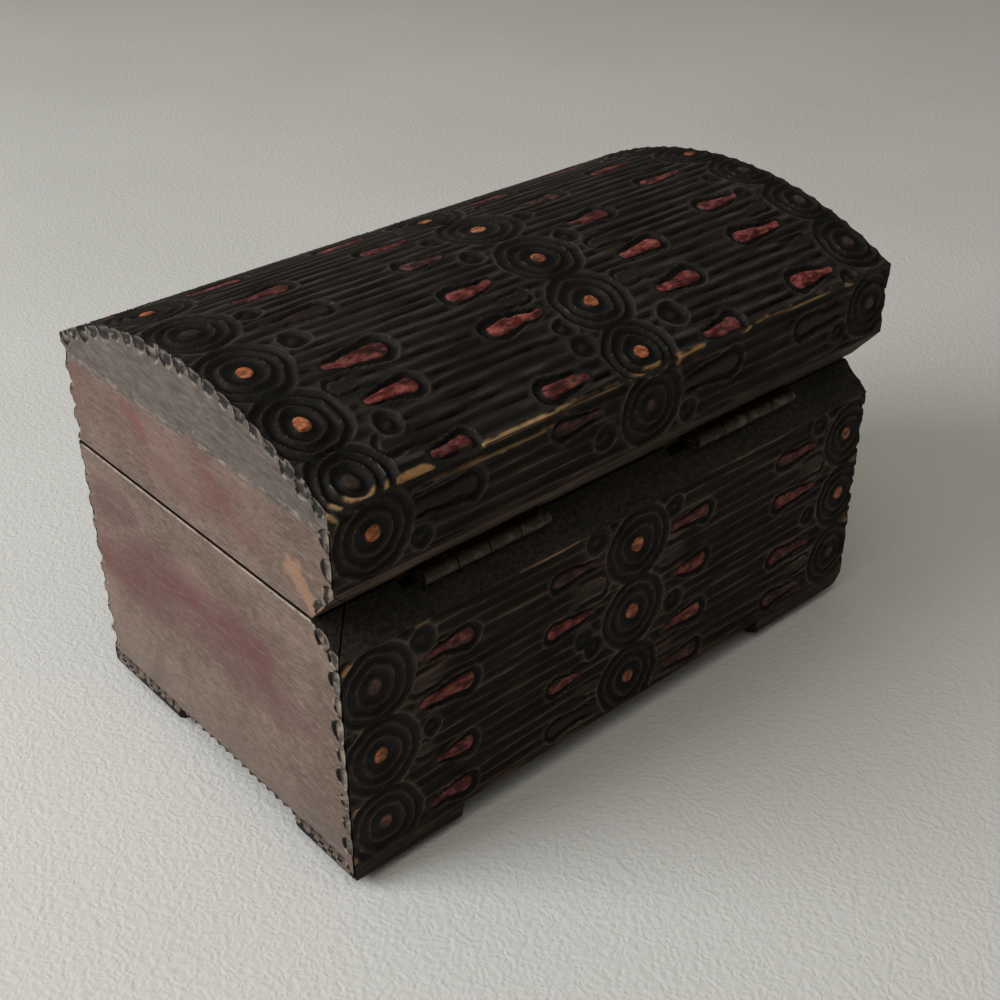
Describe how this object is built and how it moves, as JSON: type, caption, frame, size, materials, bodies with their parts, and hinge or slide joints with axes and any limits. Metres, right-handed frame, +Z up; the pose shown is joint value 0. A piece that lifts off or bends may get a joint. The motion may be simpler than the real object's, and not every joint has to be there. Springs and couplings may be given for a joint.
{
  "type": "domed-lid wooden box",
  "caption": "Small wooden chest with folk-carved faces, a domed lid hung on butt hinges in a V groove, and bracket feet; it holds trinkets or coins.",
  "frame": {"origin": "on the surface the box stands on, under the middle of its bounding box", "axes": "+X along the box towards its right end, +Y from the front to the hinged back, +Z up"},
  "size_m": [0.152, 0.091, 0.0982],
  "materials": {
    "end_wood": "stained grey-brown, rubbed",
    "carved_wood": "near-black stain with a dull polish, worn on the ridges",
    "bare_wood": "unfinished",
    "aged_brass": "tarnished"
  },
  "bodies": {
    "box": {"body_front_panel": "carved_wood", "body_back_panel": "carved_wood", "body_left_panel": "end_wood", "body_right_panel": "end_wood", "bottom_board": "bare_wood", "left_hinge_body_leaf": "aged_brass", "left_hinge_pin": "aged_brass", "left_hinge_body_screw_1": "aged_brass", "left_hinge_body_screw_2": "aged_brass", "right_hinge_body_leaf": "aged_brass", "right_hinge_pin": "aged_brass", "right_hinge_body_screw_1": "aged_brass", "right_hinge_body_screw_2": "aged_brass"},
    "lid": {"lid_front_rail": "carved_wood", "lid_back_rail": "carved_wood", "lid_left_rail": "end_wood", "lid_right_rail": "end_wood", "lid_top_board": "carved_wood", "left_hinge_lid_leaf": "aged_brass", "left_hinge_lid_screw_1": "aged_brass", "left_hinge_lid_screw_2": "aged_brass", "right_hinge_lid_leaf": "aged_brass", "right_hinge_lid_screw_1": "aged_brass", "right_hinge_lid_screw_2": "aged_brass"}
  },
  "joints": [
    {"name": "lid_hinge", "type": "hinge", "parent": "box", "child": "lid", "pos_m": [0, 0.0415, 0.0616], "axis": [-1, 0, 0], "range_deg": [0, 125]}
  ]
}
